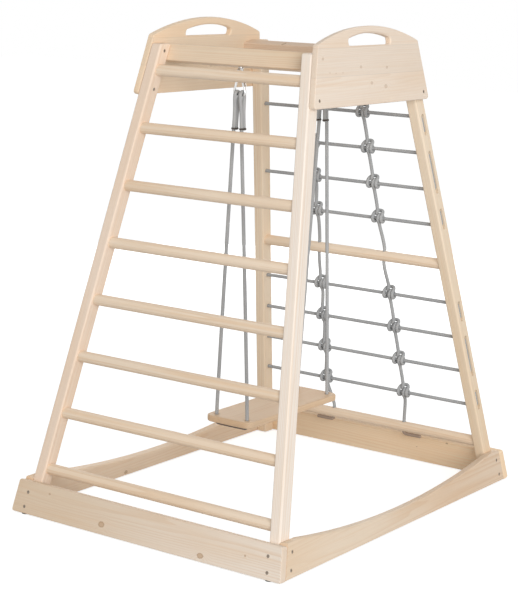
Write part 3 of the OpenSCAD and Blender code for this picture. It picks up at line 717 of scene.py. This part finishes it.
# Painted shade in the braid's valleys: the colour falls to this level there
VALLEY_SHADE_LEVEL = 0.72
PLAIT_PAINTED_SHADE = 0.34
FUZZ_SHADE = 0.3
ROPE_ROUGH = 0.7
ROPE_ROUGHER = 0.2
ROPE_SPECULAR = 0.1
ROPE_BUMP = 0.5
ROPE_RELIEF = 0.3 * MM
YARN_HEIGHT = 0.7
FUZZ_HEIGHT = 0.3


def rope_material():
    """Braid whose valleys follow the tube's UVs; painted shade in them, under the seat and on the net's
    tails.
    """
    material, tree, surface = new_material("grey_rope_braid")
    place = node(tree, "ShaderNodeTexCoord").outputs
    u, v, _ = split(tree, place["UV"])
    waves = [calc(tree, "COSINE", times(tree, count, math.pi)) for count in (u, v)]
    plait = graded(tree, times(tree, *waves), 0.5, 0.5)
    yarn = noise(tree, stretched(tree, place["UV"], YARN_SCALE))
    fuzz = noise(tree, place["Object"], FUZZ_SCALE)
    wear = step(tree, noise(tree, place["Object"], WEAR_SCALE), *WEAR_RISE)
    _, y, z = split(tree, place["Object"])
    inside = calc(tree, "LESS_THAN", calc(tree, "ABSOLUTE", y), SEAT_L / 2)
    painted_shade_under_seat = times(tree, inside, fade(tree, z, *PAINTED_SHADE_FALL))
    # painted shade on the net's tails under the bottom rung
    tail = fade(tree, z, *TAIL_SHADE_FALL)
    # painted shade in the braid's valleys, times the fuzz's own uneven tone
    shade = times(tree, graded(tree, plait, PLAIT_PAINTED_SHADE, VALLEY_SHADE_LEVEL),
                  graded(tree, fuzz, FUZZ_SHADE, 1 - FUZZ_SHADE / 2))
    height = plus(tree, times(tree, yarn, YARN_HEIGHT), times(tree, fuzz, FUZZ_HEIGHT))

    colour = blend_colour(tree, step(tree, yarn, *YARN_RISE), ROPE_DARK, ROPE_LIGHT)
    colour = blend_colour(tree, times(tree, wear, WEAR_SHARE), colour, ROPE_WORN)
    # painted shade on the rope's run under the seat
    colour = blend_colour(tree, times(tree, painted_shade_under_seat, PAINTED_SHADE_SHARE), colour, ROPE_PAINTED_SHADE)
    colour = blend_colour(tree, times(tree, tail, TAIL_SHADE_SHARE), colour, ROPE_TAIL_PAINTED_SHADE)
    colour = blend_colour(tree, 1.0, colour, shade, "MULTIPLY")
    feed_all(tree, surface, {"Base Color": colour,
                             "Roughness": graded(tree, fuzz, ROPE_ROUGHER, ROPE_ROUGH),
                             "Normal": bumped(tree, height, ROPE_BUMP, ROPE_RELIEF),
                             "Specular IOR Level": ROPE_SPECULAR})
    return material


ROPE = rope_material()


def rope(name, route, body, replaced):
    mesh = tube(name, smooth(route, BRAID_STEP), ROPE_D / 2, ROPE_SIDES, BRAID_RELIEF)
    mesh.materials.append(ROPE)
    new_object(name, mesh, body, replaced)


rope("net_lace_upper", lace_route(UPPER_ZS), "frame", "net_rope_upper")
rope("net_lace_lower", lace_route(LOWER_ZS), "frame", "net_rope_lower")
rope("net_hitched_left", upright_route(-1), "frame", "net_upright_left")
rope("net_hitched_right", upright_route(1), "frame", "net_upright_right")
rope("swing_rope_front", swing_route(-1), "swing", "front_swing_rope")
rope("swing_rope_back", swing_route(1), "swing", "back_swing_rope")

# Whippings: thread wound round each doubled rope end
WHIP_TURNS = 6
WHIP_STEPS = 28
WHIP_H = 5 * MM
WHIP_END = 1 * MM
WHIP_GAP = 0.6 * MM
THREAD_D = 0.8 * MM
THREAD_SIDES = 8


def round_both(run, radius):
    """Place at a distance along a loop round both strands, as two half circles joined by straight runs."""
    arc = math.pi * radius
    gap = 2 * STRAND_Y
    if run < arc:
        angle = run / radius
        return radius * math.cos(angle), STRAND_Y + radius * math.sin(angle)
    if run < arc + gap:
        return -radius, STRAND_Y - (run - arc)
    if run < 2 * arc + gap:
        angle = math.pi + (run - arc - gap) / radius
        return radius * math.cos(angle), -STRAND_Y + radius * math.sin(angle)
    return radius, -STRAND_Y + (run - 2 * arc - gap)


def whipping_line(side, y_way):
    radius = ROPE_D / 2 + WHIP_GAP + THREAD_D / 2
    around = 2 * math.pi * radius + 4 * STRAND_Y
    tilt = math.atan((HOLE_X - LOOP_X) / (LINK_LOW_Z - LEAD_Z))
    turn = Matrix.Rotation(-side * tilt, 3, "Y")
    middle = strand(side, y_way, 0, SPLICE_Z + WHIP_END + WHIP_H / 2)
    total = WHIP_TURNS * WHIP_STEPS
    line = []
    for k in range(total + 1):
        x, y = round_both((k % WHIP_STEPS) / WHIP_STEPS * around, radius)
        z = (k / total - 0.5) * (WHIP_H - THREAD_D)
        line.append(middle + turn @ Vector((x, y, z)))
    return line


def whippings(word, y_way):
    bm = bmesh.new()
    for side in (-1, 1):
        thread = tube("thread", whipping_line(side, y_way), THREAD_D / 2, THREAD_SIDES)
        bm.from_mesh(thread)
        bpy.data.meshes.remove(thread)
    mesh = bpy.data.meshes.new(f"{word}_whipping_threads")
    bm.to_mesh(mesh)
    bm.free()
    mesh.materials.append(THREAD)
    new_object(f"{word}_whipping_threads", mesh, "swing", f"{word}_rope_whippings")


# Hanging links: round wire bent to a triangle
LINK_SIDES = 20
LINK_STEPS = 14


def link_line(y_way):
    foot = Vector((LINK_W / 2 - LINK_CORNER_R, LINK_LOW_Z + LINK_CORNER_R))
    crown = Vector((0.0, LINK_TOP_Z - LINK_CROWN_R))
    rise = crown - foot
    tilt = math.atan2(rise.y, rise.x) - math.acos((LINK_CORNER_R - LINK_CROWN_R) / rise.length)
    half = []
    for centre, radius, start, end in ((foot, LINK_CORNER_R, -math.pi / 2, tilt),
                                       (crown, LINK_CROWN_R, tilt, math.pi / 2)):
        for k in range(LINK_STEPS + 1):
            angle = start + (end - start) * k / LINK_STEPS
            half.append(Vector((centre.x + radius * math.cos(angle), y_way * EYE_Y,
                                centre.y + radius * math.sin(angle))))
    return half + [Vector((-p.x, p.y, p.z)) for p in half[-2::-1]]


def link(word, y_way):
    mesh = tube(f"{word}_link_wire", link_line(y_way), LINK_WIRE / 2, LINK_SIDES, closed=True)
    mesh.materials.append(STEEL)
    new_object(f"{word}_link_wire", mesh, "swing", f"{word}_link")


for make in (whippings, link):
    make("front", -1)
    make("back", 1)


# Wood and sleeves: copies of the solids with their arrises eased
ARRIS = 0.7 * MM
SLEEVE_EDGE = 0.5 * MM
EASE_SEGMENTS = 2
ROUND_PROFILE = 0.5
WELD = 0.002 * MM
FLAT_ANGLE = math.radians(0.6)
SHARP_ANGLE = math.radians(38)


def is_sharp(edge):
    return len(edge.link_faces) == 2 and edge.calc_face_angle(0.0) > SHARP_ANGLE


def eased(name, width, material, body):
    bm = bmesh.new()
    bm.from_mesh(cad_nodes[name].data)
    bmesh.ops.remove_doubles(bm, verts=bm.verts, dist=WELD)
    bmesh.ops.dissolve_limit(bm, angle_limit=FLAT_ANGLE, verts=bm.verts, edges=bm.edges)
    sharp = [edge for edge in bm.edges if is_sharp(edge)]
    bmesh.ops.bevel(bm, geom=sharp, offset=width, segments=EASE_SEGMENTS, profile=ROUND_PROFILE,
                    affect="EDGES", clamp_overlap=True)
    for face in bm.faces:
        face.smooth = True
    for edge in bm.edges:
        edge.smooth = not is_sharp(edge)
    mesh = bpy.data.meshes.new(f"{name}_eased")
    bm.to_mesh(mesh)
    bm.free()
    mesh.materials.append(material)
    piece = new_object(f"{name}_eased", mesh, body, name)
    piece.modifiers.new("even_shading", "WEIGHTED_NORMAL").keep_sharp = True


def wooden(name, slot, across, grain, pith, tint, body="frame", along=0.0, **figure):
    """Eased copy of a node in pine of its own, cut from its log at a distance along the grain."""
    material = pine(f"pine_{name}", middle_of(name) + along * grain, across, grain, pith, tint, **figure)
    eased(name, ARRIS, material, body)


# Knots: where each lies on its piece, and its radius
FRONT_BOARD_KNOTS = (((-0.314, -0.559, 0.068), 2.4 * MM), ((-0.128, -0.569, 0.028), 7 * MM),
                     ((0.193, -0.572, 0.018), 6.5 * MM), ((0.324, -0.565, 0.046), 2.2 * MM))
BACK_BOARD_KNOTS = (((0.253, 0.532, 0.079), 2.6 * MM), ((0.148, 0.54, 0.048), 1.5 * MM))
LEFT_BOARD_KNOTS = (((-0.410, -0.134, 0.012), 5 * MM),)
RIGHT_CAP_KNOTS = (((0.272, -0.223, 1.221), 3.5 * MM), ((0.275, -0.052, 1.196), 3.5 * MM),
                   ((0.276, 0.072, 1.191), 3.5 * MM), ((0.281, -0.006, 1.154), 4 * MM),
                   ((0.282, 0.061, 1.143), 5 * MM), ((0.277, -0.196, 1.186), 1.6 * MM),
                   ((0.277, -0.169, 1.184), 1.6 * MM), ((0.277, -0.1375, 1.184), 1.6 * MM))
LEFT_CAP_KNOTS = (((-0.261, 0.027, 1.166), 3.5 * MM),)
BACK_RAIL_KNOTS = (((-0.124, 0.173, 1.227), 3 * MM),)

# The tints and drifts below were fitted piece by piece, so besides each piece's own tone they hold painted
# light and shade
# Posts: the way each one stands out from the middle, its pith, its tint and its figure
for name, x_way, y_way, pith, tint, figure in (
        ("post_front_left", -1, -1, (0.03, 0.03), (1.03, 1.00, 1.04), {}),
        # the front right post's pale, cool tint is partly painted light
        ("post_front_right", 1, -1, (0.07, 0.03), (1.07, 1.14, 1.30), {}),
        ("post_back_left", -1, 1, (0.03, 0.06), (1.09, 1.07, 1.05), {}),
        ("post_back_right", 1, 1, (0.07, 0.06), (1.02, 0.985, 0.935), {"drift": (1.04, 1.035, 1.03)})):
    lean = Vector((-x_way * SIDE_RUN, -y_way * FRONT_RUN, 1))
    wooden(name, "post_wood", X_AXIS, lean, pith, tint, **figure)

# Ladder rungs: levels and piths that come round again, so that no two neighbours are alike
RUNG_COUNT = 8
RUNG_TINT = Vector((1.0, 0.975, 0.97))
RUNG_LEVELS = (0.99, 1.005, 1.02)
RUNG_PITH_ACROSS = (0.018, 0.022, 0.026, 0.030)
RUNG_PITH_BEHIND = (0.030, 0.024, 0.018)
RUNG_CUT = 370 * MM
for index in range(1, RUNG_COUNT + 1):
    pith = (RUNG_PITH_ACROSS[index % 4], RUNG_PITH_BEHIND[index % 3])
    wooden(f"ladder_rung_{index}", "rung_wood", Z_AXIS, X_AXIS, pith, RUNG_LEVELS[index % 3] * RUNG_TINT,
           along=index * RUNG_CUT)

# Rungs of the net and top rails: slot, pith, tint and figure
for name, slot, pith, tint, figure in (
        ("net_middle_rung", "rung_wood", (0.022, 0.024), (1.08, 1.05, 1.04), {}),
        ("net_bottom_rung", "rung_wood", (0.032, 0.024), (1.01, 0.955, 0.92), {}),
        ("front_top_rail", "rail_wood", (-0.03, 0.06), (0.94, 0.90, 0.86), {}),
        # the back rail's darker tint is partly painted shade
        ("back_top_rail", "rail_wood", (0.03, 0.06), (0.89, 0.81, 0.78), {"knots": BACK_RAIL_KNOTS})):
    wooden(name, slot, Z_AXIS, X_AXIS, pith, tint, **figure)

# Caps: glued from three planks, with faint rings
CAP_SEAMS = (-0.0226, 0.048)
CAP_RINGS = 0.6
CAP_KNOT_DEPTH = 0.5
for name, pith, tint, knots in (
        ("left_cap", (0.025, 0.08), (1.05, 1.00, 0.955), LEFT_CAP_KNOTS),
        ("right_cap", (0.02, 0.09), (1.02, 1.03, 1.10), RIGHT_CAP_KNOTS)):
    wooden(name, "cap_wood", Z_AXIS, Y_AXIS, pith, tint, knots=knots, seams=CAP_SEAMS, rings=CAP_RINGS,
           depth=CAP_KNOT_DEPTH)

# Base boards: grain, pith, tint and figure
for name, grain, pith, tint, figure in (
        # the front board's drift is painted light, brighter and cooler towards its right end
        ("front_base_board", X_AXIS, (-0.02, 0.075), (0.89, 0.84, 0.80),
         {"knots": FRONT_BOARD_KNOTS, "drift": (0.99, 1.02, 1.11)}),
        # the back board's warm tint is partly painted shade, and its drift paints light over the shadow on
        # its right end
        ("back_base_board", X_AXIS, (0.02, 0.075), (1.02, 0.93, 0.82),
         {"knots": BACK_BOARD_KNOTS, "drift": (1.17, 1.12, 1.05)}),
        ("left_base_board", Y_AXIS, (-0.015, 0.07), (1.04, 0.98, 0.945), {"knots": LEFT_BOARD_KNOTS}),
        ("right_base_board", Y_AXIS, (0.015, 0.07), (0.955, 0.935, 0.93), {"drift": (0.925, 0.87, 0.845)})):
    wooden(name, "board_wood", Z_AXIS, grain, pith, tint, **figure)

# The seat's dark, warm tint is partly painted shade on its top
wooden("swing_seat", "seat_wood", X_AXIS, Y_AXIS, (0.02, 0.08), (0.91, 0.80, 0.695), body="swing")

for name in ("front_link_sleeve", "back_link_sleeve"):
    eased(name, SLEEVE_EDGE, STEEL, "swing")


# Fasteners: the CAD nodes themselves, in finer materials
def dress(material, *names):
    for name in names:
        for slot in cad_nodes[name].material_slots:
            slot.material = material


dress(SCREW, "front_base_screws", "back_base_screws", "left_base_screws", "right_base_screws",
      "cap_bolts", "cap_bolt_nuts", "cap_screws", "rail_screws")
dress(STEEL, "front_screw_eye", "back_screw_eye")
dress(GLIDE, "foot_glides")

# Camera of the photograph: height and focal length in pixels, its place, and its turn in degrees
PHOTO_H = 600
FOCAL_PX = 1762.78
SENSOR_H = 36.0
CAMERA_AT = Vector((2.6820, -3.8557, 1.4735))
CAMERA_TURN = (78.8402, -1.6045, 35.7141)
CAMERA_SEES = 100.0


def add_camera():
    camera = bpy.data.objects.new("camera", bpy.data.cameras.new("camera"))
    scene.collection.objects.link(camera)
    turn = Euler([math.radians(angle) for angle in CAMERA_TURN])
    camera.matrix_world = Matrix.Translation(CAMERA_AT) @ turn.to_matrix().to_4x4()
    camera.data.sensor_fit = "VERTICAL"
    camera.data.sensor_height = SENSOR_H
    camera.data.lens = FOCAL_PX * SENSOR_H / PHOTO_H
    camera.data.clip_end = CAMERA_SEES
    scene.camera = camera


# Light: a broad key lamp, a weak lamp behind, and a world and a floor that look whiter than they shine
AMBIENT = 0.48
FLOOR_GREY = 0.57
FLOOR_GLOW = 0.75
FLOOR_ROUGH = 0.9
FLOOR_REACH = 14.0
FLOOR_DROP = 0.5 * MM
FLOOR_GRID = 4
WHITE = (1, 1, 1, 1)


def add_lamp(name, at, target, size, watts):
    data = bpy.data.lights.new(name, "AREA")
    data.shape = "DISK"
    data.size = size
    data.energy = watts
    lamp = bpy.data.objects.new(name, data)
    scene.collection.objects.link(lamp)
    lamp.location = at
    lamp.rotation_euler = (Vector(target) - Vector(at)).to_track_quat("-Z", "Y").to_euler()


def seen_share(tree):
    """1 for rays that show a surface to the camera, directly or mirrored, and 0 for light on the object."""
    path = node(tree, "ShaderNodeLightPath").outputs
    seen = calc(tree, "MAXIMUM", path["Is Camera Ray"], path["Is Glossy Ray"])
    return calc(tree, "MAXIMUM", seen, path["Is Transmission Ray"])


def add_world():
    world = bpy.data.worlds.new("studio")
    scene.world = world
    world.use_nodes = True
    tree = world.node_tree
    strength = graded(tree, seen_share(tree), 1.0 - AMBIENT, AMBIENT)
    feed_all(tree, tree.nodes["Background"], {"Color": WHITE, "Strength": strength})


def add_floor():
    bm = bmesh.new()
    bmesh.ops.create_grid(bm, x_segments=FLOOR_GRID, y_segments=FLOOR_GRID, size=FLOOR_REACH)
    mesh = bpy.data.meshes.new("floor")
    bm.to_mesh(mesh)
    bm.free()
    floor = bpy.data.objects.new("floor", mesh)
    scene.collection.objects.link(floor)
    floor.location.z = -FLOOR_DROP
    material, tree, surface = new_material("floor_white")
    glow = times(tree, seen_share(tree), FLOOR_GLOW)
    feed_all(tree, surface, {"Base Color": (FLOOR_GREY, FLOOR_GREY, FLOOR_GREY, 1),
                             "Roughness": FLOOR_ROUGH, "Specular IOR Level": 0.0,
                             "Emission Color": WHITE, "Emission Strength": glow})
    mesh.materials.append(material)


add_camera()
add_lamp("key", at=(6.1, -5.4, 2.7), target=(0, 0, 0.7), size=5.6, watts=424)
add_lamp("back_fill", at=(-2.4, 3.4, 0.9), target=(0, 0, 0.6), size=2.0, watts=34)
add_world()
add_floor()
scene.view_settings.view_transform = "Standard"
